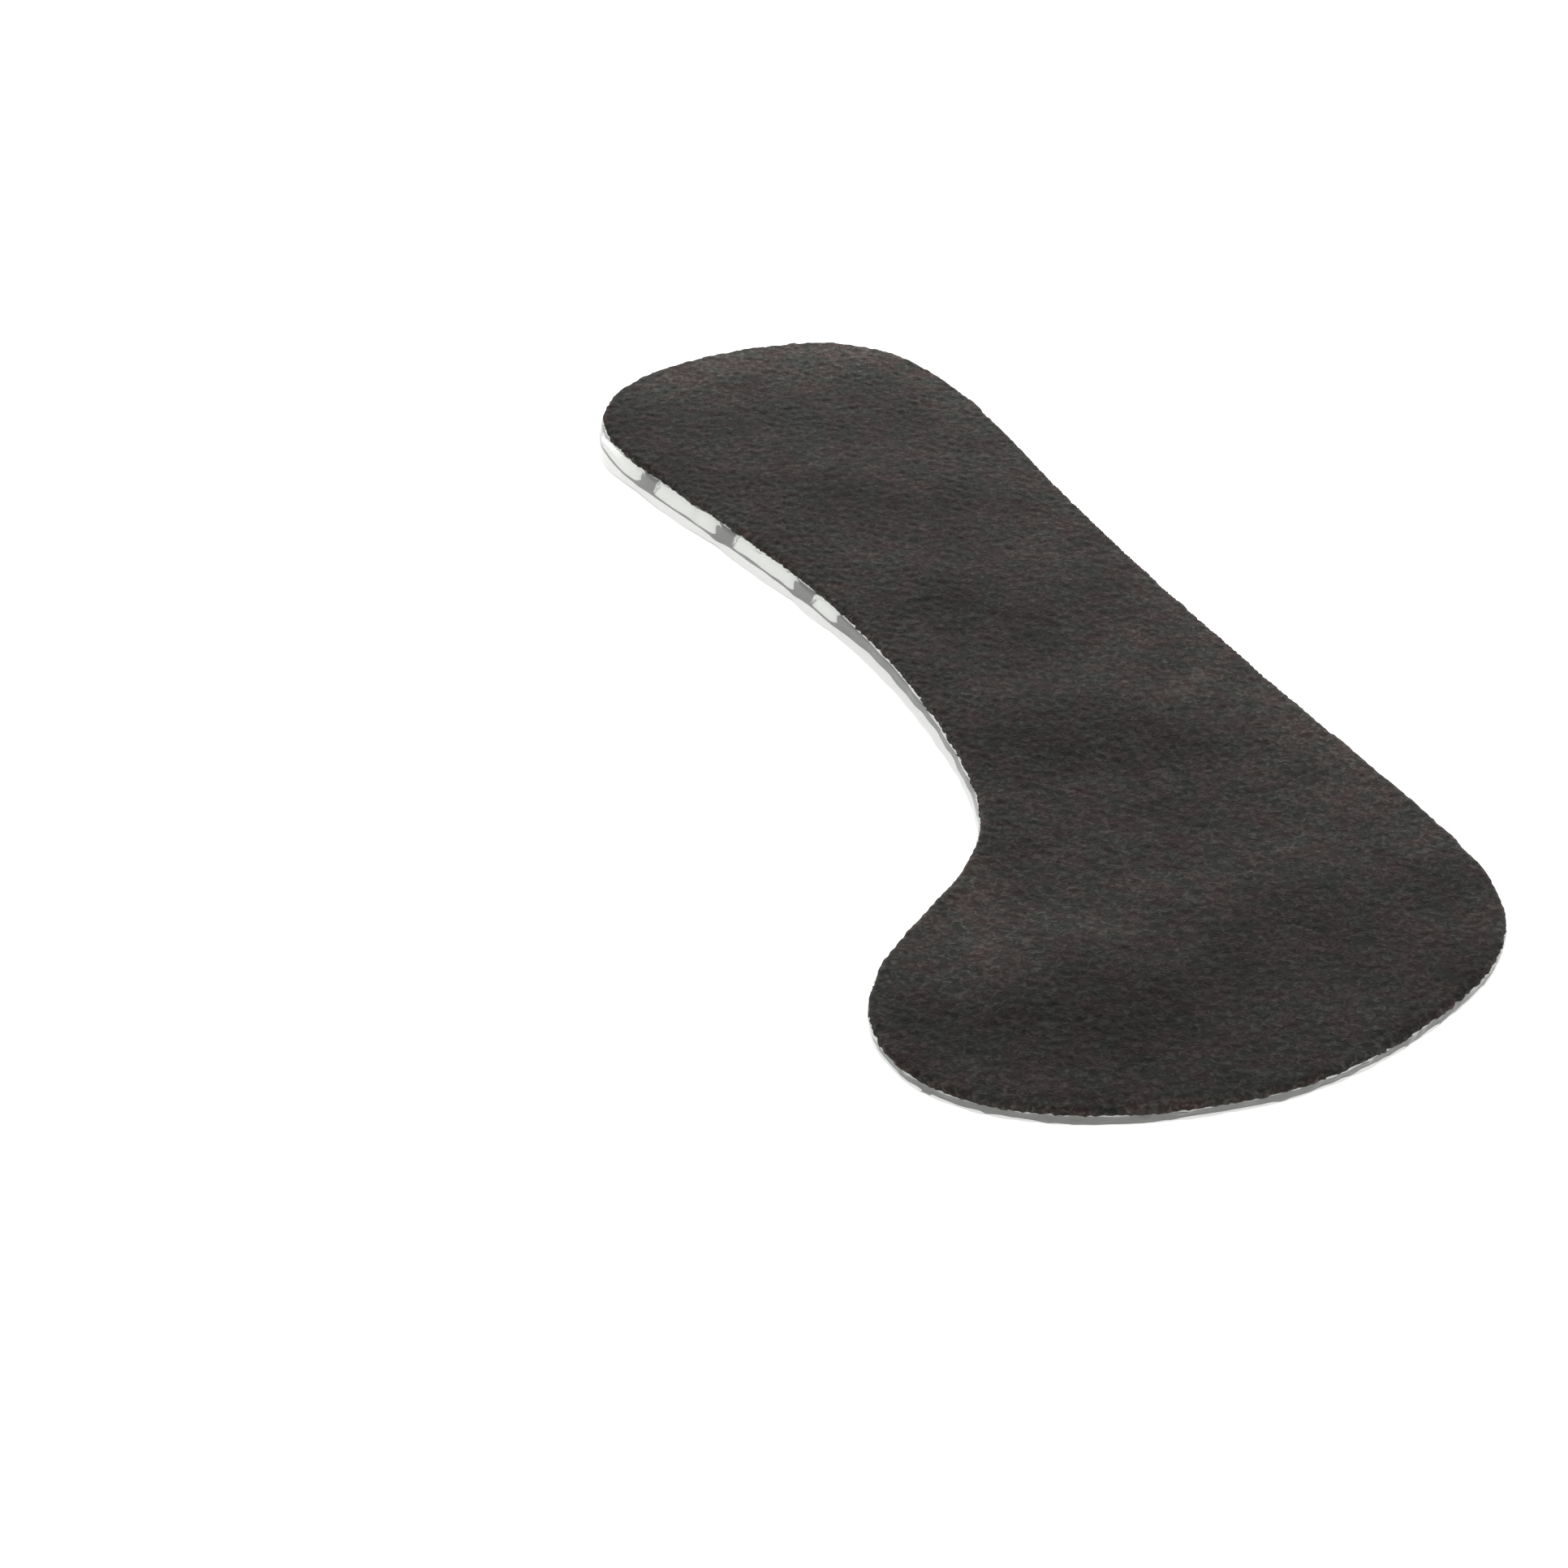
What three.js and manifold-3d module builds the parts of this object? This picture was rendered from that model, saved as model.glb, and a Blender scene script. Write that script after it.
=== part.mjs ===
// Three-quarter gel insole for a left shoe, in millimetres: a clear gel base with a cloth cover bonded
// on top. +Y runs from heel to toe, +X is the inner side of the foot and +Z is up. The origin lies under
// the middle of the cover's box, on the surface that the insole rests on.
import * as THREE from "three";
import { mergeVertices } from "three/addons/utils/BufferGeometryUtils.js";
import Module from "manifold-3d";

// Thickness of the gel under the heel and at the front edge, and where along Y it thins from one to the
// other.
const HEEL_GEL = 3.2;
const FRONT_GEL = 1.0;
const THINS_FROM = -40;
const THINS_TO = 75;

// The cloth, and the glue line that keeps the two bodies apart.
const CLOTH_THICKNESS = 1.0;
const GLUE_LINE = 0.3;

// How far the gel's rim stands out past the cloth under the heel, at shares of its height from the floor
// up. Where the gel is thin, only a share of that.
const THIN_REACH = 0.15;
const RIM = [
  { height: 0, outward: 0.5 },
  { height: 0.18, outward: 0.8 },
  { height: 0.5, outward: 0.5 },
  { height: 1, outward: 0 },
];

// The cut edge of the cloth, counter-clockwise from above. Each anchor has its place, the heading of the
// edge there in degrees from +X, and how far the curve reaches along that heading before and after it.
const SOLE_EDGE = [
  { at: "heel back", x: -5.5, y: -90, heading: 4, before: 19.5, after: 18.5 },
  { at: "inner heel", x: 21.5, y: -67, heading: 95, before: 13, after: 12 },
  { at: "waist", x: 8, y: 3, heading: 90, before: 29, after: 24.5 },
  { at: "arch bay", x: 20, y: 43.5, heading: 43, before: 12, after: 13.5 },
  { at: "ball lobe", x: 38.4, y: 70, heading: 90, before: 11.5, after: 12 },
  { at: "front", x: 6, y: 90, heading: 180, before: 20, after: 9.5 },
  { at: "front slant", x: -20, y: 82, heading: 209, before: 9, after: 13 },
  { at: "outer ball", x: -38.4, y: 55, heading: 270, before: 14, after: 15.5 },
  { at: "outer heel", x: -28.4, y: -50, heading: 270, before: 46, after: 28 },
];

// The four corners of the mesh on that edge, as shares of its length from the heel back.
const CORNER = { innerHeel: 0.052, innerFront: 0.4, outerFront: 0.565, outerHeel: 0.951 };
const STEPS_ACROSS = 14;
const STEPS_ALONG = 44;

// Cells moulded into the underside, in one row along the edge round the heel: like cells, then a short one
// at each end. The row's middle and the lengths run along the edge from the heel back, towards the inner
// side.
const CELL_LENGTH = 14;
const END_CELL_LENGTH = 6;
const CELL_RIB = 3.5;
const CELL_COUNT = 9;
const CELL_ROW_MIDDLE = 2.5;
const CELL_WALL = 2;
const CELL_WIDTH = 5;
const CELL_ROOF = 1.3;
const CELL_STEPS = 5;

// Points closer than this are one point when a solid is made.
const MERGE_WITHIN = 1e-4;

const wasm = await Module();
wasm.setup();

// The sole edge as one closed path of curves.
const soleEdge = new THREE.CurvePath();
SOLE_EDGE.forEach((from, i) => {
  const to = SOLE_EDGE[(i + 1) % SOLE_EDGE.length];
  const reach = (anchor, length) => {
    const angle = THREE.MathUtils.degToRad(anchor.heading);
    return new THREE.Vector2(anchor.x + length * Math.cos(angle), anchor.y + length * Math.sin(angle));
  };
  const control = [reach(from, 0), reach(from, from.after), reach(to, -to.before), reach(to, 0)];
  soleEdge.add(new THREE.CubicBezierCurve(...control));
});
const EDGE_LENGTH = soleEdge.getLength();

// A point of the edge at a share of its length, moved outward by a distance.
function edgePoint(share, outward) {
  const wrapped = THREE.MathUtils.euclideanModulo(share, 1);
  const point = soleEdge.getPointAt(wrapped);
  const tangent = soleEdge.getTangentAt(wrapped);
  return new THREE.Vector2(point.x + outward * tangent.y, point.y - outward * tangent.x);
}

// A point of the sole at shares across (outer to inner) and along (heel to front), blended from its four
// edges.
function solePoint(across, along, outward) {
  const { lerp } = THREE.MathUtils;
  const at = (share) => edgePoint(share, outward);
  const outer = at(lerp(CORNER.outerHeel, CORNER.outerFront, along));
  const inner = at(lerp(CORNER.innerHeel, CORNER.innerFront, along));
  const heel = at(lerp(CORNER.outerHeel - 1, CORNER.innerHeel, across));
  const front = at(lerp(CORNER.outerFront, CORNER.innerFront, across));
  const heelChord = at(CORNER.outerHeel).lerp(at(CORNER.innerHeel), across);
  const frontChord = at(CORNER.outerFront).lerp(at(CORNER.innerFront), across);
  const sides = outer.lerp(inner, across);
  const ends = heel.lerp(front, along);
  return sides.add(ends).sub(heelChord.lerp(frontChord, along));
}

// A value at a place along the foot that goes from one under the heel to another at the front.
function heelToFront(y, atHeel, atFront) {
  return THREE.MathUtils.lerp(atHeel, atFront, THREE.MathUtils.smoothstep(y, THINS_FROM, THINS_TO));
}

// The gel's thickness at a place along the foot.
function gelHeight(y) {
  return heelToFront(y, HEEL_GEL, FRONT_GEL);
}

// A slab over the sole: a box whose layers take the sole's shape, each with its own outward reach and
// height.
function soleSlab(layers) {
  const slab = new THREE.BoxGeometry(1, 1, layers.length - 1, STEPS_ACROSS, STEPS_ALONG, layers.length - 1);
  const place = slab.getAttribute("position");
  const lowest = -(layers.length - 1) / 2;
  for (let i = 0; i < place.count; i++) {
    const layer = layers[Math.round(place.getZ(i) - lowest)];
    const shares = [place.getX(i) + 0.5, place.getY(i) + 0.5];
    const outward = layer.outward * heelToFront(solePoint(...shares, 0).y, 1, THIN_REACH);
    const flat = solePoint(...shares, outward);
    place.setXYZ(i, flat.x, flat.y, layer.height(flat.y));
  }
  return slab;
}

// The hollow of one cell, from below the floor up to the gel left as its roof.
function cellHollow(start, length) {
  const share = (step) => (start + (length * step) / CELL_STEPS) / EDGE_LENGTH;
  const steps = Array.from({ length: CELL_STEPS + 1 }, (_, step) => step);
  const near = steps.map((step) => edgePoint(share(step), -CELL_WALL));
  const far = steps.map((step) => edgePoint(share(step), -CELL_WALL - CELL_WIDTH)).reverse();
  const roof = gelHeight(near[0].y) - CELL_ROOF;
  const hollow = new THREE.ExtrudeGeometry(new THREE.Shape([...near, ...far]), {
    depth: 2 * roof,
    bevelEnabled: false,
  });
  return hollow.translate(0, 0, -roof);
}

// Geometry to a solid and back, for the cuts.
function solidOf(geometry) {
  geometry.deleteAttribute("normal");
  geometry.deleteAttribute("uv");
  const merged = mergeVertices(geometry, MERGE_WITHIN);
  return new wasm.Manifold(
    new wasm.Mesh({
      numProp: 3,
      vertProperties: merged.getAttribute("position").array,
      triVerts: new Uint32Array(merged.index.array),
    }),
  );
}

function geometryOf(solid) {
  const mesh = solid.getMesh();
  const geometry = new THREE.BufferGeometry();
  geometry.setAttribute("position", new THREE.BufferAttribute(mesh.vertProperties, 3));
  geometry.setIndex(new THREE.BufferAttribute(mesh.triVerts, 1));
  geometry.computeVertexNormals();
  return geometry;
}

// Gel base: the rim's layers, with the row of cells cut into the underside.
let gel = solidOf(
  soleSlab(RIM.map(({ height, outward }) => ({ outward, height: (y) => height * gelHeight(y) }))),
);
const likeLengths = Array(CELL_COUNT).fill(CELL_LENGTH);
const cellLengths = [END_CELL_LENGTH, ...likeLengths, END_CELL_LENGTH];
const rowLength = cellLengths.reduce((sum, length) => sum + length + CELL_RIB, -CELL_RIB);
let cellStart = CELL_ROW_MIDDLE - rowLength / 2;
for (const length of cellLengths) {
  gel = gel.subtract(solidOf(cellHollow(cellStart, length)));
  cellStart += length + CELL_RIB;
}
const gelBase = new THREE.Mesh(
  geometryOf(gel),
  new THREE.MeshStandardMaterial({
    color: "#e6e8e6",
    roughness: 0.12,
    metalness: 0,
    transparent: true,
    opacity: 0.4,
  }),
);
gelBase.name = "gel_base";

// Top cover: one even layer of cloth over the gel.
const topCover = new THREE.Mesh(
  soleSlab([
    { outward: 0, height: (y) => gelHeight(y) + GLUE_LINE },
    { outward: 0, height: (y) => gelHeight(y) + GLUE_LINE + CLOTH_THICKNESS },
  ]),
  new THREE.MeshStandardMaterial({ color: "#353332", roughness: 0.95, metalness: 0 }),
);
topCover.name = "top_cover";

const insole = new THREE.Group();
insole.add(gelBase, topCover);
export default insole;
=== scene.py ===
# Three-quarter gel insole for a left shoe, lying on a pale floor: a clear gel base under a charcoal
# napped cover. Each mesh is modelled in millimetres and brought to metres when it is done. +Y runs from
# heel to toe, +X is the inner side of the foot and +Z is up.
import math
import random
import bmesh
import bpy
import numpy as np
from mathutils import Matrix, Vector, kdtree, noise
from mathutils.geometry import interpolate_bezier


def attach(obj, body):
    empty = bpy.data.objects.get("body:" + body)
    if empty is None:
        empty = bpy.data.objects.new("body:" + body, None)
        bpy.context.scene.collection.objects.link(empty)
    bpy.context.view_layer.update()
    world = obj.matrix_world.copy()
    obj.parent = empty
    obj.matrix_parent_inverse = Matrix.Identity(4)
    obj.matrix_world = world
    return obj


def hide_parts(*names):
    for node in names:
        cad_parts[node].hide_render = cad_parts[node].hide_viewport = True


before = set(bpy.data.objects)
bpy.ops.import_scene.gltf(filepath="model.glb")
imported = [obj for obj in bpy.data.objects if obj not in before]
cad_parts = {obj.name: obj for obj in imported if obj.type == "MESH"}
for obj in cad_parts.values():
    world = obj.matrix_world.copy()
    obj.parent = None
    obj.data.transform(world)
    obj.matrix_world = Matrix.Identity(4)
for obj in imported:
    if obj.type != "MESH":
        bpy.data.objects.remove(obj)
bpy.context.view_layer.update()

# Gel base: one casting of clear soft gel, thick under the heel and thinning to a fine front edge. Its rim
# swells a little past the cloth, and a row of cells, open below, is moulded into it round the heel. It is
# cast onto the back of the cloth, so no air lies between the two.
MM = 0.001
HEEL_GEL = 3.2
FRONT_GEL = 1.0
THINS_FROM = -40
THINS_TO = 75

# The sole's edge, counter-clockwise from above: a place, the heading there in degrees from +X, and how
# far the curve reaches along that heading before and after the place.
SOLE_EDGE = [
    (-5.5, -90, 4, 19.5, 18.5),  # heel back
    (21.5, -67, 95, 13, 12),  # inner heel
    (8, 3, 90, 29, 24.5),  # waist
    (20, 43.5, 43, 12, 13.5),  # arch bay
    (38.4, 70, 90, 11.5, 12),  # ball lobe
    (6, 90, 180, 20, 9.5),  # front
    (-20, 82, 209, 9, 13),  # front slant
    (-38.4, 55, 270, 14, 15.5),  # outer ball
    (-28.4, -50, 270, 46, 28),  # outer heel
]
EDGE_DETAIL = 240
HEADING_STEP = 0.2

# The rim's section under the heel: shares of the gel's height, and how far it stands out past the cloth
# there. Where the gel is thin it stands out less, its edge is less even, and a fine lip shows at its top.
RIM = [
    (0, 0.5),
    (0.05, 0.68),
    (0.13, 0.8),
    (0.24, 0.8),
    (0.38, 0.68),
    (0.55, 0.54),
    (0.75, 0.44),
    (0.88, 0.38),
    (0.96, 0.27),
    (1, 0.1),
]
RIM_STEPS = 1600
THIN_REACH = 0.12
RIM_WOBBLE, THIN_WOBBLE, WOBBLE_MM = 0.12, 0.22, 3.5
THIN_NICKS, NICKS_MM = 0.12, 1.4
LIP_EVEN, LIP_STREAK, LIP_MM = 0.07, 0.5, 2.5
LIP_STREAKS_FROM = 0.1
INTO_CLOTH = 0.1
BOND_INSET = 0.5

# The soft foot of the rim clings to the floor, in a band that is wider where the gel is thick, but narrow
# along the cells. Further in, a film of air lies under the gel. The widths run in from the cloth's edge.
SUNK_IN_FLOOR = 0.03
AIR_UNDER = 0.05
CLING_AT_CELLS = 1.2
CLING_WIDENS = 0.15
CLING_THICK = 2.8
CLING_THIN = 0.4
CLING_WAVER, CLING_WAVER_MM = 0.5, 14
CLING_STEP = 0.2

# Layers of the noise along the rim, so that no two uses are alike, and how fast it changes up the rim.
CLING_LAYER = 7
LIP_LAYER = 20
NICKS_LAYER = 30
LAYERS_UP_RIM = 1.5

# The cells, in one row along the edge. The row's middle and the lengths run along it from the heel back,
# towards +X.
CELL_LENGTHS = [6, *[14] * 9, 6]
CELL_RIB = 3.5
CELL_ROW_MIDDLE = 2.5
CELL_WALL = 2
CELL_WIDTH = 5
CELL_ROOF = 1.3
CELL_CORNER = 1.3
CELL_CORNER_STEPS = 6
CELL_STEPS = 72
CELL_BULGE = 0.4
CELL_UNEVEN, CELL_UNEVEN_MM = 0.35, 3.5
# The seed of every noise with a direction, here and in the cloth, so that each run makes the same piece.
UNEVEN_SEED = 11
# A cell's section: how far its wall leans in, at heights above its mouth, then at depths below its roof.
CELL_FOOT = [(0, -0.2), (0.2, 0)]
CELL_HEAD = [(0.55, 0.12), (0.2, 0.24), (0.05, 0.42), (0, 0.75)]


def gel_height(y):
    """The gel's thickness at a place along the foot."""
    share = np.clip((y - THINS_FROM) / (THINS_TO - THINS_FROM), 0, 1)
    return HEEL_GEL + (FRONT_GEL - HEEL_GEL) * share * share * (3 - 2 * share)


def reach(anchor, length):
    """The point that lies this far along an anchor's heading."""
    x, y, heading = anchor[:3]
    angle = math.radians(heading)
    return Vector((x + length * math.cos(angle), y + length * math.sin(angle)))


def length_along(line):
    """How far along a line each of its points lies."""
    return np.append(0, np.cumsum(np.linalg.norm(np.diff(line, axis=0), axis=1)))


def on_line(run, line_run, line):
    """Points at lengths along a line."""
    return np.stack([np.interp(run, line_run, line[:, axis]) for axis in (0, 1)], axis=-1)


edge_line = []
for start, end in zip(SOLE_EDGE, SOLE_EDGE[1:] + SOLE_EDGE[:1]):
    handles = reach(start, 0), reach(start, start[4]), reach(end, -end[3]), reach(end, 0)
    edge_line += interpolate_bezier(*handles, EDGE_DETAIL)[:-1]
edge_line = np.array([point[:2] for point in edge_line + edge_line[:1]])
edge_run = length_along(edge_line)
EDGE_LENGTH = edge_run[-1]


def edge_place(along, outward):
    """Places at lengths along the sole's edge from the heel back, moved outward."""

    def on_edge(run):
        return on_line(np.mod(run, EDGE_LENGTH), edge_run, edge_line)

    ahead = on_edge(along + HEADING_STEP) - on_edge(along - HEADING_STEP)
    ahead /= np.linalg.norm(ahead, axis=-1, keepdims=True)
    outwards = np.stack([ahead[..., 1], -ahead[..., 0]], axis=-1)
    return on_edge(along) + np.asarray(outward)[..., None] * outwards


cell_row = []
ROW_LENGTH = sum(CELL_LENGTHS) + CELL_RIB * (len(CELL_LENGTHS) - 1)
cell_start = CELL_ROW_MIDDLE - ROW_LENGTH / 2
for length in CELL_LENGTHS:
    cell_row.append((cell_start + length / 2, length))
    cell_start += length + CELL_RIB

# Along the rim, step by step: how thick the gel is, how far the soft wall of each cell bulges, pinched in
# at the ribs, how far the foot clings, and how even the edge and its lip are.
rim_along = np.arange(RIM_STEPS) * EDGE_LENGTH / RIM_STEPS
rim_thickness = gel_height(edge_place(rim_along, np.zeros(RIM_STEPS))[:, 1])
thick_share = (rim_thickness - FRONT_GEL) / (HEEL_GEL - FRONT_GEL)
thin_share = 1 - thick_share


def off_along(middle):
    """How far each step of the rim lies from a place along the edge, the short way round."""
    return (rim_along - middle + EDGE_LENGTH / 2) % EDGE_LENGTH - EDGE_LENGTH / 2


def rim_noise(size, layer):
    """Soft noise along the rim, with swells of about this size."""
    return np.array([noise.noise((run / size, layer, 0)) for run in rim_along])


rim_bulge = np.zeros(RIM_STEPS)
for middle, length in cell_row:
    span = np.clip(off_along(middle) / (length + CELL_RIB), -0.5, 0.5)
    rim_bulge += CELL_BULGE * np.cos(math.pi * span)
rim_cling = CLING_THIN + (CLING_THICK - CLING_THIN) * thick_share
rim_cling += CLING_WAVER * rim_noise(CLING_WAVER_MM, CLING_LAYER)
past_cells = np.maximum(0, abs(off_along(CELL_ROW_MIDDLE)) - ROW_LENGTH / 2)
rim_cling = np.clip(rim_cling, 0, CLING_AT_CELLS + CLING_WIDENS * past_cells)
rim_reach = THIN_REACH + (1 - THIN_REACH) * thick_share
rim_wobble = THIN_WOBBLE + (RIM_WOBBLE - THIN_WOBBLE) * thick_share
lip_streaks = np.maximum(0, rim_noise(LIP_MM, LIP_LAYER) - LIP_STREAKS_FROM)
rim_lip = (LIP_EVEN + LIP_STREAK * lip_streaks) * thin_share

# The mesh: the foot's ring, drawn up into the rim and over into the cloth, and drawn in under the gel.
bm = bmesh.new()
rim_step = bm.verts.layers.int.new("rim_step")
foot_verts = bmesh.ops.create_circle(bm, segments=RIM_STEPS, radius=1)["verts"]
for i, v in enumerate(foot_verts):
    v[rim_step] = i
foot_ring = bm.edges[:]


def next_ring(bm, ring):
    """Extrudes a closed ring of edges, and gives the new ring's edges and vertices."""
    made = bmesh.ops.extrude_edge_only(bm, edges=ring)["geom"]
    edges = [e for e in made if isinstance(e, bmesh.types.BMEdge) and e.is_boundary]
    return edges, [v for v in made if isinstance(v, bmesh.types.BMVert)]


def place_ring(ring_verts, xy, z):
    """Puts a ring's vertices at the places of their steps of the rim."""
    for v in ring_verts:
        v.co = (*xy[v[rim_step]], z[v[rim_step]])


ring, ring_verts = foot_ring, foot_verts
for height, outward in RIM:
    if height > 0:
        ring, ring_verts = next_ring(bm, ring)
    layer = LAYERS_UP_RIM * height
    stands_out = outward * rim_reach + rim_bulge * (1 - height)
    stands_out += rim_noise(WOBBLE_MM, layer) * rim_wobble
    stands_out += rim_lip * height**3
    stands_out += THIN_NICKS * rim_noise(NICKS_MM, NICKS_LAYER + layer) * thin_share**2
    xy = edge_place(rim_along, stands_out)
    z = height * (gel_height(xy[:, 1]) + INTO_CLOTH + SUNK_IN_FLOOR) - SUNK_IN_FLOOR
    place_ring(ring_verts, xy, z)
top_ring, ring_verts = next_ring(bm, ring)
xy = edge_place(rim_along, np.full(RIM_STEPS, -BOND_INSET))
place_ring(ring_verts, xy, gel_height(xy[:, 1]) + 2 * INTO_CLOTH)
under_ring = foot_ring
for inward, height in ((rim_cling, -SUNK_IN_FLOOR), (rim_cling + CLING_STEP, AIR_UNDER)):
    under_ring, ring_verts = next_ring(bm, under_ring)
    place_ring(ring_verts, edge_place(rim_along, -inward), np.full(RIM_STEPS, height))


def cell_outline(half_length, half_width):
    """Even steps round a cell's mouth, a rectangle with round corners."""
    angle = (np.arange(4 * CELL_CORNER_STEPS) + 0.5) * math.pi / (2 * CELL_CORNER_STEPS)
    corners = CELL_CORNER * np.stack([np.cos(angle), np.sin(angle)], axis=-1)
    line = corners + np.sign(corners) * (np.array([half_length, half_width]) - CELL_CORNER)
    line = np.vstack([line, line[:1]])
    run = length_along(line)
    return on_line(np.linspace(0, run[-1], CELL_STEPS, endpoint=False), run, line)


# Each cell is drawn up straight from its mouth to its roof, as a share of its height, and then bent to the
# sole's edge.
noise.seed_set(UNEVEN_SEED)
mouth_rings = []
for middle, length in cell_row:
    half_length, half_width = length / 2, CELL_WIDTH / 2
    cell = bmesh.ops.create_circle(bm, segments=CELL_STEPS, radius=1)["verts"]
    for v, place in zip(cell, cell_outline(half_length, half_width)):
        v.co = (*place, 0)
    ring = list(dict.fromkeys(e for v in cell for e in v.link_edges))
    mouth_rings += ring
    roof = float(gel_height(edge_place(np.array(middle), -CELL_WALL)[1])) - CELL_ROOF
    section = [(rise / roof, lean) for rise, lean in CELL_FOOT]
    section += [(1 - drop / roof, lean) for drop, lean in CELL_HEAD]
    ring_verts, leaned = cell, 0
    for level, (share, lean) in enumerate(section):
        if level > 0:
            ring, ring_verts = next_ring(bm, ring)
            cell += ring_verts
        narrower = [(half - lean) / (half - leaned) for half in (half_length, half_width)]
        bmesh.ops.scale(bm, vec=(*narrower, 1), verts=ring_verts)
        for v in ring_verts:
            v.co.z = share
        leaned = lean
    bmesh.ops.edgeloop_fill(bm, edges=ring)
    straight = np.array([v.co for v in cell])
    xy = edge_place(middle + straight[:, 0], -CELL_WALL - half_width + straight[:, 1])
    z = AIR_UNDER + straight[:, 2] * (gel_height(xy[:, 1]) - CELL_ROOF - AIR_UNDER)
    for v, (x, y), height in zip(cell, xy, z):
        uneven = noise.noise_vector(Vector((x, y, height)) / CELL_UNEVEN_MM) * CELL_UNEVEN
        v.co = (x + uneven.x, y + uneven.y, height)

bmesh.ops.triangle_fill(bm, edges=under_ring + mouth_rings, use_beauty=True, normal=(0, 0, -1))
bmesh.ops.triangle_fill(bm, edges=top_ring, use_beauty=True, normal=(0, 0, 1))
bmesh.ops.recalc_face_normals(bm, faces=bm.faces)
for edge in foot_ring + mouth_rings + top_ring:
    edge.smooth = False


def linear(colour):
    """An sRGB hex colour as a linear colour with alpha."""
    parts = [int(colour[i : i + 2], 16) / 255 for i in (1, 3, 5)]
    return (*(c / 12.92 if c <= 0.04045 else ((c + 0.055) / 1.055) ** 2.4 for c in parts), 1)


def new_material(name):
    """A material with an empty node tree."""
    material = bpy.data.materials.new(name)
    material.use_nodes = True
    material.node_tree.nodes.clear()
    return material


def add_node(material, kind, inputs, **settings):
    """Adds a node to a material, with its settings, and its values and links by the inputs' names."""
    node = material.node_tree.nodes.new(kind)
    for name, value in settings.items():
        setattr(node, name, value)
    for name, value in inputs.items():
        if isinstance(value, bpy.types.NodeSocket):
            material.node_tree.links.new(value, node.inputs[name])
        else:
            node.inputs[name].default_value = value
    return node


def new_piece(bm, name, material):
    """An object from a bmesh in millimetres, with smooth faces, in metres."""
    bmesh.ops.scale(bm, vec=(MM, MM, MM), verts=bm.verts)
    for face in bm.faces:
        face.smooth = True
    mesh = bpy.data.meshes.new(name)
    bm.to_mesh(mesh)
    bm.free()
    mesh.materials.append(material)
    piece = bpy.data.objects.new(name, mesh)
    bpy.context.scene.collection.objects.link(piece)
    return piece


# Clear thermoplastic gel from a polished mould: it bends light like soft silicone, with a faint ripple and
# a light bloom where it has been handled, so its edge shows bright and dark lines and not one flat grey.
GEL_COLOUR = "#f3f5f2"
GEL_IOR = 1.44
GEL_CLEARNESS = 0.83
POLISHED, HANDLED = 0.03, 0.12
RIPPLE_MM, RIPPLE_HEIGHT_MM = 5, 0.03
BLOOM_MM = 9
gel = new_material("clear thermoplastic gel")
place = add_node(gel, "ShaderNodeTexCoord", {})
ripple = add_node(
    gel,
    "ShaderNodeTexNoise",
    {"Vector": place.outputs["Object"], "Scale": 1 / (RIPPLE_MM * MM), "Detail": 1.0},
)
bloom = add_node(
    gel,
    "ShaderNodeTexNoise",
    {"Vector": place.outputs["Object"], "Scale": 1 / (BLOOM_MM * MM), "Detail": 3.0},
)
dulled = add_node(
    gel,
    "ShaderNodeMapRange",
    {
        "Value": bloom.outputs["Fac"],
        "From Min": 0.35,
        "From Max": 0.7,
        "To Min": POLISHED,
        "To Max": HANDLED,
    },
)
rippled = add_node(
    gel,
    "ShaderNodeBump",
    {"Height": ripple.outputs["Fac"], "Distance": RIPPLE_HEIGHT_MM * MM, "Strength": 1.0},
)
gel_shader = add_node(
    gel,
    "ShaderNodeBsdfPrincipled",
    {
        "Base Color": linear(GEL_COLOUR),
        "IOR": GEL_IOR,
        "Transmission Weight": GEL_CLEARNESS,
        "Roughness": dulled.outputs["Result"],
        "Normal": rippled.outputs["Normal"],
    },
)
add_node(gel, "ShaderNodeOutputMaterial", {"Surface": gel_shader.outputs["BSDF"]})

gel_casting = new_piece(bm, "gel_casting", gel)
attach(gel_casting, "root")
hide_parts("gel_base")

# Top cover: one layer of brushed microfibre cloth, cut to the sole's outline with a die. The raised nap
# lies in small clumps and curls over at the cut edge, which isn't quite even. The cloth has soft rolls
# from the way that the insole was packed, and slight puckers.
CLOTH_TOP = 0.95
CLOTH_BACK = 0.05
STEPS_ACROSS = 160
STEPS_ALONG = 540
# The mesh's corners on the edge, as shares of its length from the heel back.
OUTER_HEEL, INNER_HEEL, INNER_FRONT, OUTER_FRONT = 0.951, 0.052, 0.4, 0.565
# The nap: puckers with finer ones at a share of their height, clumps, and tufts in them. Clumps and tufts
# stand higher towards the heel, where they are ruffled.
PUCKER_MM, PUCKER_HEIGHT = 6, 0.09
FINE_PUCKER_MM, FINE_PUCKER_SHARE = 3, 0.5
CLUMP_MM, CLUMP_HEIGHT = 1.05, 0.115
TUFT_MM, TUFT_HEIGHT = 0.5, 0.04
RUFFLED_FROM, RUFFLED_TO, RUFFLED = -10, -60, 1.35
# The edge: how it falls and curls over, wavers and frays. The cut side has two rows, at shares of its
# height.
FALL_WIDTH, FALL_DROP = 5, 0.1
CURL_WIDTH, CURL_DROP = 0.5, 0.2
CUT_WAVER_MM, CUT_WAVER = 5, 0.25
CUT_RAGGED = 0.2
CUT_ROWS = (0.5, 0)
# Layers of the noise over the cloth, so that no two patterns of a size are alike.
WAVER_LAYER, CLUMP_LAYER, PUCKER_LAYER, FINE_LAYER, TUFT_LAYER = 2, 3, 5, 6, 8
FRAY_LAYER = 6
CUT_ROW_LAYERS = 9
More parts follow.
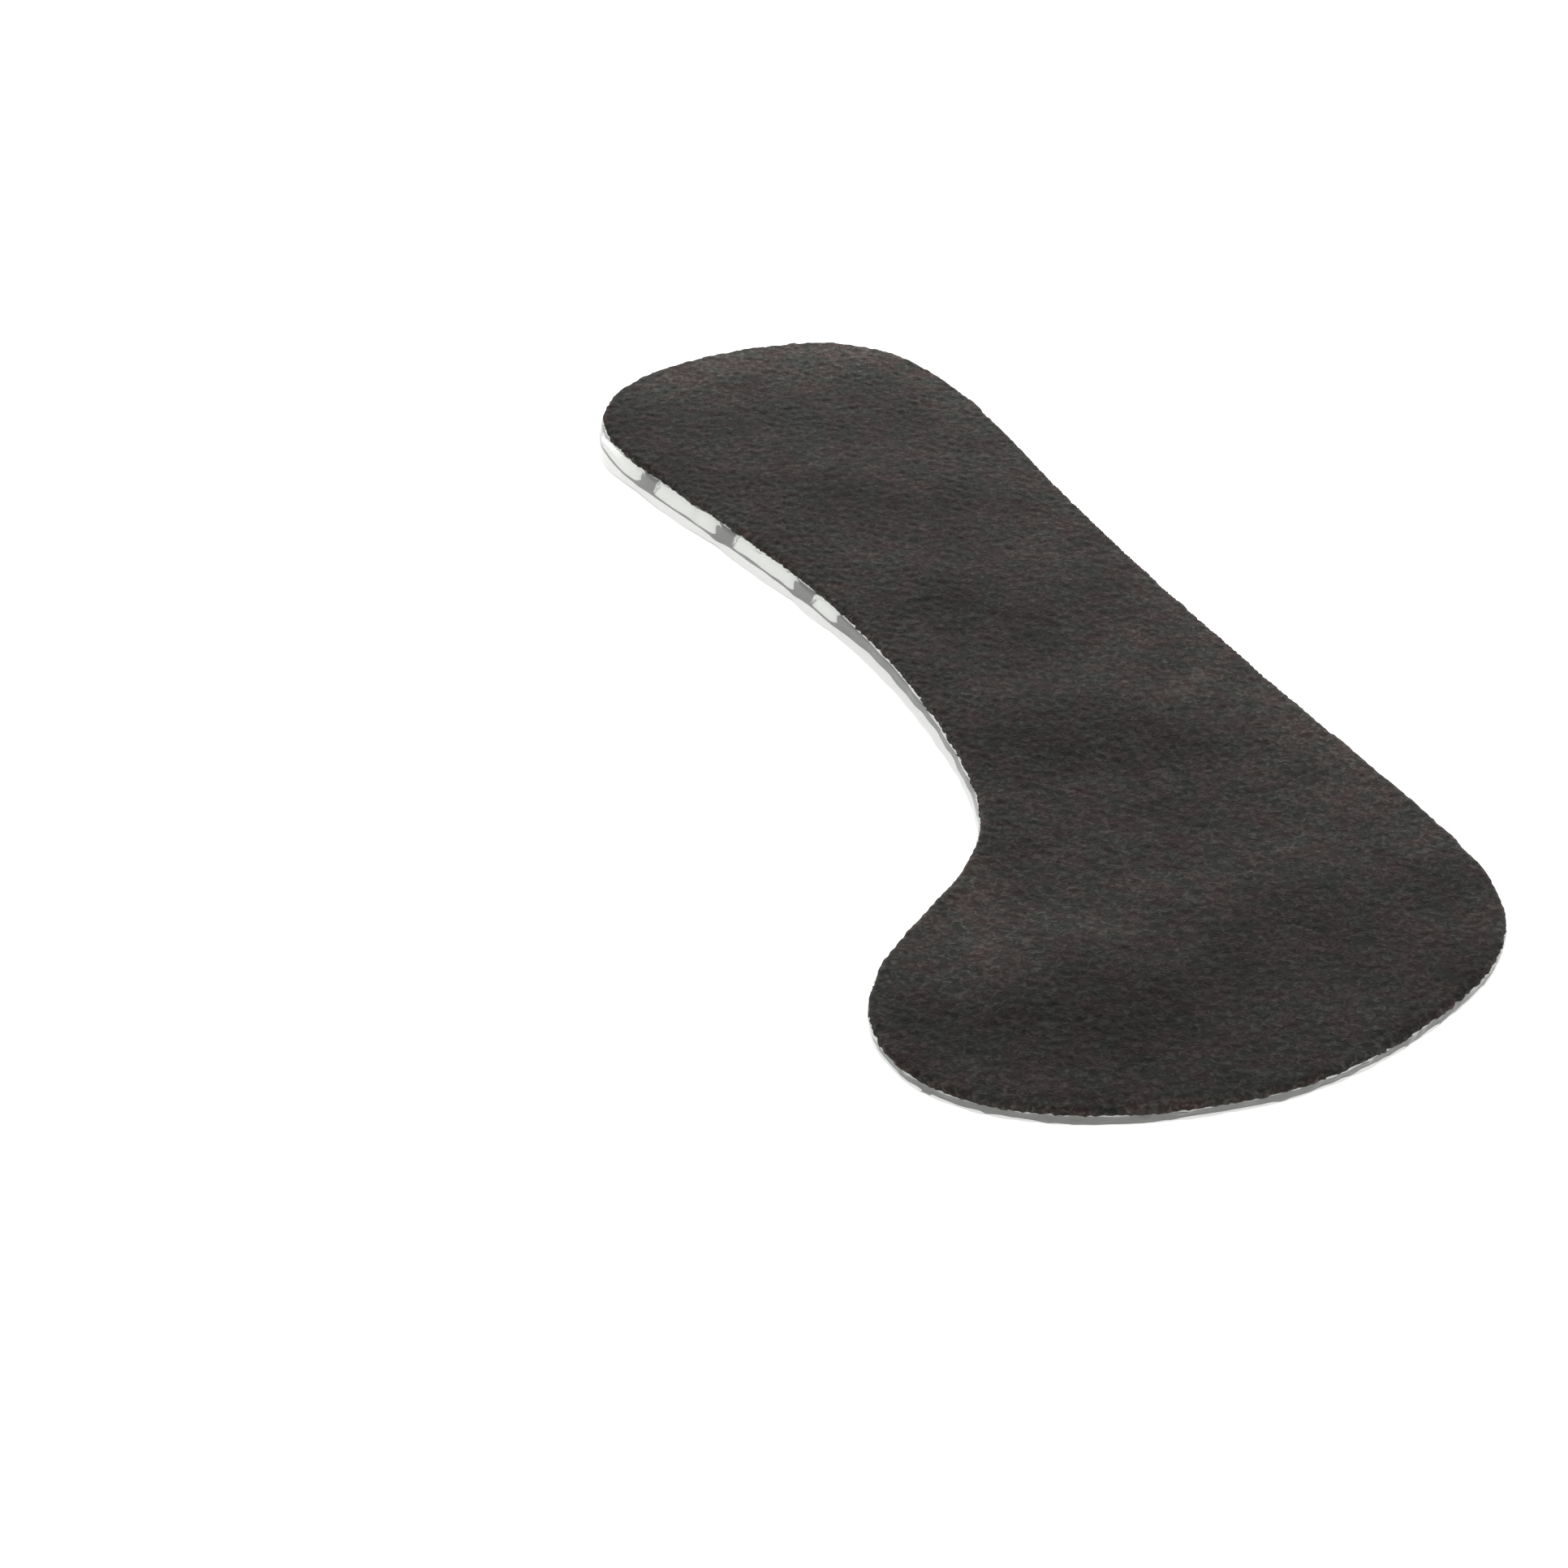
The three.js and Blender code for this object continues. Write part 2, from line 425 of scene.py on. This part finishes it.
# The rolls: the middle of each crest, its heading in degrees from +X, half its length, its half width and
# its height. They start a little way in from the edge.
ROLLS = [
    (14, 64, 0, 16, 11, 0.8),
    (-14, 54, 5, 16, 9, 0.3),
    (-30, 77, 0, 9, 10, 0.35),
    (-4, 26, 0, 18, 9, -0.25),
    (-12, 16, -35, 17, 9, 0.45),
    (-8, -18, -35, 16, 9, 0.32),
    (-4, -49, -35, 16, 9, 0.36),
]
ROLLS_START = 8
SLOPE_STEP = 0.5


def sole_place(across, along):
    """Places on the sole at shares from its outer to its inner edge and from heel to front."""

    def edge(share):
        return edge_place(np.asarray(share, float) * EDGE_LENGTH, np.zeros(np.shape(share)))

    def mix(start, end, share):
        return start + (end - start) * share[..., None]

    def run(start, end, share):
        return edge(start + (end - start) * share)

    outer, inner = run(OUTER_HEEL, OUTER_FRONT, along), run(INNER_HEEL, INNER_FRONT, along)
    heel, front = run(OUTER_HEEL - 1, INNER_HEEL, across), run(OUTER_FRONT, INNER_FRONT, across)
    heel_ends = mix(edge(OUTER_HEEL), edge(INNER_HEEL), across)
    front_ends = mix(edge(OUTER_FRONT), edge(INNER_FRONT), across)
    return mix(outer, inner, across) + mix(heel, front, along) - mix(heel_ends, front_ends, along)


def rolls(x, y):
    """How far the soft rolls lift the cloth at places."""
    lift = np.zeros_like(x)
    for middle_x, middle_y, heading, half_length, half_width, height in ROLLS:
        angle = math.radians(heading)
        on_x, on_y = x - middle_x, y - middle_y
        along = on_x * math.cos(angle) + on_y * math.sin(angle)
        across = on_y * math.cos(angle) - on_x * math.sin(angle)
        lift += height * np.exp(-((along / half_length) ** 2) - (across / half_width) ** 2)
    return lift


def nap(x, y):
    """The nap's height over the cloth at a place."""

    def swell(size, layer):
        return noise.noise((x / size, y / size, layer))

    pucker = swell(PUCKER_MM, PUCKER_LAYER) + FINE_PUCKER_SHARE * swell(FINE_PUCKER_MM, FINE_LAYER)
    clump = swell(CLUMP_MM, CLUMP_LAYER)
    tuft = swell(TUFT_MM, TUFT_LAYER + clump)
    ruffled = np.interp(y, (RUFFLED_TO, RUFFLED_FROM), (RUFFLED, 1))
    return PUCKER_HEIGHT * pucker + ruffled * (CLUMP_HEIGHT * clump + TUFT_HEIGHT * tuft)


def stray_fibres(x, y, size, layer):
    """Which way, and how far, the fibres stray at a place."""
    return noise.noise_vector((x / size, y / size, layer))


# Painted light and shade, kept at each point: painted light where a roll turns towards the heel's soft
# box, near edges that face it and on the cut side, where fibres are seen from the side; painted shade
# where a roll turns away.
EDGE_PAINTED_LIGHT = 0.5
EDGE_PAINTED_LIGHT_WIDTH = 28
PAINTED_LIGHT_HEADING = (-0.38, -0.92)
PAINTED_LIGHT_STARTS_AT = 0.25
CUT_PAINTED_LIGHT = 0.17
edge_outwards = edge_place(edge_run, np.ones(len(edge_run))) - edge_line
painted_light_at_edge = EDGE_PAINTED_LIGHT * np.maximum(0, edge_outwards @ PAINTED_LIGHT_HEADING - PAINTED_LIGHT_STARTS_AT)
edge_tree = kdtree.KDTree(len(edge_line))
for i, point in enumerate(edge_line):
    edge_tree.insert((*point, 0), i)
edge_tree.balance()

# The mesh: a grid drawn over the sole as the top of the nap, with the cut side and the flat back below it.
bm = bmesh.new()
bmesh.ops.create_grid(bm, x_segments=STEPS_ACROSS, y_segments=STEPS_ALONG, size=0.5)
painted_shading = bm.verts.layers.float.new("painted_shading")
shares = np.array([v.co[:2] for v in bm.verts]) + 0.5
sole = sole_place(shares[:, 0], shares[:, 1])
sole_x, sole_y = sole[:, 0], sole[:, 1]
roll_lift = rolls(sole_x, sole_y)
roll_slope = rolls(sole_x, sole_y + SLOPE_STEP) - rolls(sole_x, sole_y - SLOPE_STEP)
for v, (x, y), lift, slope in zip(bm.verts, sole, roll_lift, roll_slope):
    _, nearest, off_edge = edge_tree.find((x, y, 0))
    lift *= min(1, off_edge / ROLLS_START)
    at_edge = max(0, 1 - off_edge / CURL_WIDTH)
    waver = CUT_WAVER * stray_fibres(x, y, CUT_WAVER_MM, WAVER_LAYER)
    stray = at_edge * (waver + CUT_RAGGED * stray_fibres(x, y, CLUMP_MM, FRAY_LAYER))
    fall = FALL_DROP * max(0, 1 - off_edge / FALL_WIDTH) ** 2 + CURL_DROP * at_edge**2
    v.co = (x + stray.x, y + stray.y, gel_height(y) + CLOTH_TOP + lift + nap(x, y) - fall)
    # Painted shading: painted light and shade from the roll's slope, painted light near edges facing the
    # soft box, painted light on the cut side.
    painted_light_near_edge = painted_light_at_edge[nearest] * max(0, 1 - off_edge / EDGE_PAINTED_LIGHT_WIDTH) ** 2
    v[painted_shading] = slope + painted_light_near_edge + CUT_PAINTED_LIGHT * at_edge
cut_ring = [e for e in bm.edges if e.is_boundary]
for level in CUT_ROWS:
    cut_ring, ring_verts = next_ring(bm, cut_ring)
    for v in ring_verts:
        x, y, z = v.co
        back = gel_height(y) + CLOTH_BACK
        ragged = CUT_RAGGED * stray_fibres(x, y, TUFT_MM, CUT_ROW_LAYERS * level)
        v.co = (x + ragged.x, y + ragged.y, back + (z - back) * level)
bmesh.ops.triangle_fill(bm, edges=cut_ring, use_beauty=True, normal=(0, 0, -1))
bmesh.ops.recalc_face_normals(bm, faces=bm.faces)
for edge in cut_ring:
    edge.smooth = False

# Brushed polyester microfibre, dyed charcoal: matt, with a weak bloom of light on the fibre tips. The nap
# is felted, so it shows as fine light worms on a darker ground: its own grain, with painted shade deep in
# the nap and painted light on the fibre tips. Brushing has left broad lighter and darker patches. Single
# fibres are too fine to show, so the worms are as wide as small bundles of them.
NAP_DEEP = "#0d0c0b"
NAP_MIDDLE = "#22201f"
NAP_TIP = "#474441"
NAP_WARM = "#332324"
NAP_COOL = "#1f2824"
NAP_SHEEN = "#6b6a68"
FIBRE_MM, FIBRE_HEIGHT_MM = 0.7, 0.25
TINT_MM, TINT_SHARE = 3, 0.33
BRUSHED_MM = 8
PATCH_DARK, PATCH_LIGHT = 0.76, 1.24
# How far the painted shade darkens and the painted light brightens the nap, at the values turned furthest
# away from and towards the heel.
MOST_SHADED_AT, PAINTED_SHADE_SHARE = -0.1, 0.46
MOST_LIT_AT, PAINTED_LIGHT_SHARE = 0.35, 2.98
cloth = new_material("brushed microfibre cloth")
place = add_node(cloth, "ShaderNodeTexCoord", {})
fibres = add_node(
    cloth,
    "ShaderNodeTexNoise",
    {
        "Vector": place.outputs["Object"],
        "Scale": 1 / (FIBRE_MM * MM),
        "Detail": 4.0,
        "Roughness": 0.6,
        "Distortion": 0.8,
    },
)
# The ramp's deep and tip colours: the nap's own grain, with painted shade deep in the nap and painted
# light on the fibre tips.
shade = add_node(cloth, "ShaderNodeValToRGB", {"Fac": fibres.outputs["Fac"]})
shade.color_ramp.elements[0].position = 0.3
shade.color_ramp.elements[0].color = linear(NAP_DEEP)
shade.color_ramp.elements[1].position = 0.72
shade.color_ramp.elements[1].color = linear(NAP_TIP)
shade.color_ramp.elements.new(0.5).color = linear(NAP_MIDDLE)
tint = add_node(
    cloth,
    "ShaderNodeTexNoise",
    {"Vector": place.outputs["Object"], "Scale": 1 / (TINT_MM * MM), "Detail": 3.0},
)
tinted = add_node(cloth, "ShaderNodeValToRGB", {"Fac": tint.outputs["Fac"]})
tinted.color_ramp.elements[0].position = 0.35
tinted.color_ramp.elements[0].color = linear(NAP_COOL)
tinted.color_ramp.elements[1].position = 0.65
tinted.color_ramp.elements[1].color = linear(NAP_WARM)
dyed = add_node(
    cloth,
    "ShaderNodeMix",
    {"Factor": TINT_SHARE, "A": shade.outputs["Color"], "B": tinted.outputs["Color"]},
    data_type="RGBA",
)
brushed = add_node(
    cloth,
    "ShaderNodeTexNoise",
    {"Vector": place.outputs["Object"], "Scale": 1 / (BRUSHED_MM * MM), "Detail": 2.0},
)
patches = add_node(
    cloth,
    "ShaderNodeMapRange",
    {
        "Value": brushed.outputs["Fac"],
        "From Min": 0.3,
        "From Max": 0.7,
        "To Min": PATCH_DARK,
        "To Max": PATCH_LIGHT,
    },
)
patched = add_node(
    cloth,
    "ShaderNodeVectorMath",
    {"Vector": dyed.outputs["Result"], "Scale": patches.outputs["Result"]},
    operation="SCALE",
)
# The painted light and shade kept at each point brightens or darkens the nap's colour.
painted_shading_node = add_node(cloth, "ShaderNodeAttribute", {}, attribute_name="painted_shading")
painted_shading_share = add_node(
    cloth,
    "ShaderNodeMapRange",
    {
        "Value": painted_shading_node.outputs["Fac"],
        "From Min": MOST_SHADED_AT,
        "From Max": MOST_LIT_AT,
        "To Min": PAINTED_SHADE_SHARE,
        "To Max": PAINTED_LIGHT_SHARE,
    },
)
shaded = add_node(
    cloth,
    "ShaderNodeVectorMath",
    {"Vector": patched.outputs["Vector"], "Scale": painted_shading_share.outputs["Result"]},
    operation="SCALE",
)
raised = add_node(
    cloth,
    "ShaderNodeBump",
    {"Height": fibres.outputs["Fac"], "Distance": FIBRE_HEIGHT_MM * MM, "Strength": 0.8},
)
cloth_shader = add_node(
    cloth,
    "ShaderNodeBsdfPrincipled",
    {
        "Base Color": shaded.outputs["Vector"],
        "Roughness": 0.95,
        "Specular IOR Level": 0.05,
        "Sheen Weight": 0.26,
        "Sheen Roughness": 0.5,
        "Sheen Tint": linear(NAP_SHEEN),
        "Normal": raised.outputs["Normal"],
    },
)
add_node(cloth, "ShaderNodeOutputMaterial", {"Surface": cloth_shader.outputs["BSDF"]})

cloth_cover = new_piece(bm, "cloth_cover", cloth)
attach(cloth_cover, "root")
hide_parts("top_cover")

# Cut edge fuzz: ends of nap that the die left loose along the edge of the cloth, each a fine hair that
# stands out over the gel. The hairs are drawn thicker than single fibres, so that they show.
FUZZ_COUNT = 4000
FUZZ_LENGTH = (0.15, 0.45)
FUZZ_ROOT = 0.025
FUZZ_TIP = 0.006
FUZZ_SIDES = 3
FUZZ_INSET = 0.1
# Shares of the cut's height that the hairs grow at, and the angles they turn and tilt by, in radians.
FUZZ_LEVELS = (0.25, 0.95)
FUZZ_TURN = 0.6
FUZZ_TILT = (-0.6, 0.5)
FUZZ_SEED = 11
CUT_HEIGHT = CLOTH_TOP - FALL_DROP - CURL_DROP
drawn = random.Random(FUZZ_SEED)
bm = bmesh.new()
for i in range(FUZZ_COUNT):
    run = EDGE_LENGTH * (i + drawn.random()) / FUZZ_COUNT
    root = edge_place(np.array(run), -FUZZ_INSET)
    beyond = edge_place(np.array(run), 1 - FUZZ_INSET)
    outwards = math.atan2(beyond[1] - root[1], beyond[0] - root[0])
    level = drawn.uniform(*FUZZ_LEVELS)
    long = drawn.uniform(*FUZZ_LENGTH)
    turned = Matrix.Rotation(outwards + drawn.gauss(0, FUZZ_TURN), 4, "Z")
    tilted = Matrix.Rotation(math.pi / 2 + drawn.uniform(*FUZZ_TILT), 4, "Y")
    aimed = turned @ tilted
    rooted = Matrix.Translation((*root, gel_height(root[1]) + CLOTH_BACK + CUT_HEIGHT * level))
    bmesh.ops.create_cone(
        bm,
        cap_ends=True,
        segments=FUZZ_SIDES,
        radius1=FUZZ_ROOT,
        radius2=FUZZ_TIP,
        depth=long,
        matrix=rooted @ aimed @ Matrix.Translation((0, 0, long / 2)),
    )
fuzz = new_piece(bm, "cut_edge_fuzz", cloth)
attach(fuzz, "root")

# Floor: a light table, a wide sheet of matt white acrylic with an even glow from below, so that no shadow
# shows round the insole and its clear gel looks bright.
FLOOR_HALF_WIDTH = 6000
ACRYLIC_WHITE = "#f2f2f0"
GLOW_WHITE = "#ffffff"
TABLE_GLOW = 0.62
bm = bmesh.new()
bmesh.ops.create_grid(bm, x_segments=1, y_segments=1, size=FLOOR_HALF_WIDTH)
acrylic = new_material("lit white acrylic")
acrylic_shader = add_node(
    acrylic,
    "ShaderNodeBsdfPrincipled",
    {
        "Base Color": linear(ACRYLIC_WHITE),
        "Roughness": 0.9,
        "Emission Color": linear(GLOW_WHITE),
        "Emission Strength": TABLE_GLOW,
    },
)
add_node(acrylic, "ShaderNodeOutputMaterial", {"Surface": acrylic_shader.outputs["BSDF"]})
floor = new_piece(bm, "floor", acrylic)

# Light: an even white studio, and one wide soft box beyond the heel, which lights that end a little more.
# Its size and place are in metres, and it faces the origin.
STUDIO_WHITE = "#ffffff"
STUDIO_LIGHT = 0.8
BOX_SIZE = 0.5
BOX_POWER = 24
BOX_PLACE = (-0.55, -1.2, 0.5)
studio = bpy.data.worlds.new("studio")
studio.use_nodes = True
background = studio.node_tree.nodes["Background"]
background.inputs["Color"].default_value = linear(STUDIO_WHITE)
background.inputs["Strength"].default_value = STUDIO_LIGHT
bpy.context.scene.world = studio
box_light = bpy.data.lights.new("soft_box", "AREA")
box_light.size = BOX_SIZE
box_light.energy = BOX_POWER
soft_box = bpy.data.objects.new("soft_box", box_light)
soft_box.location = BOX_PLACE
soft_box.rotation_euler = Vector((0, 0, -1)).rotation_difference(-Vector(BOX_PLACE)).to_euler()
bpy.context.scene.collection.objects.link(soft_box)
bpy.context.scene.view_settings.view_transform = "Standard"

# Camera: a long lens in front of the toes, looking down at the insole. Its place is in metres and its
# angles are in degrees, and its lens is in pixels of the frame.
FRAME_PX = 1932
LENS_PX = 5400
CAMERA_PLACE = (0.188, 0.4173, 0.2545)
AZIMUTH, ELEVATION, ROLL = 158.42, 30.435, 2.346
lens = bpy.data.cameras.new("camera")
lens.lens = lens.sensor_width * LENS_PX / FRAME_PX
camera = bpy.data.objects.new("camera", lens)
camera.location = CAMERA_PLACE
camera.rotation_euler = (
    Matrix.Rotation(math.radians(AZIMUTH), 3, "Z")
    @ Matrix.Rotation(math.radians(90 - ELEVATION), 3, "X")
    @ Matrix.Rotation(math.radians(ROLL), 3, "Z")
).to_euler()
bpy.context.scene.collection.objects.link(camera)
bpy.context.scene.camera = camera
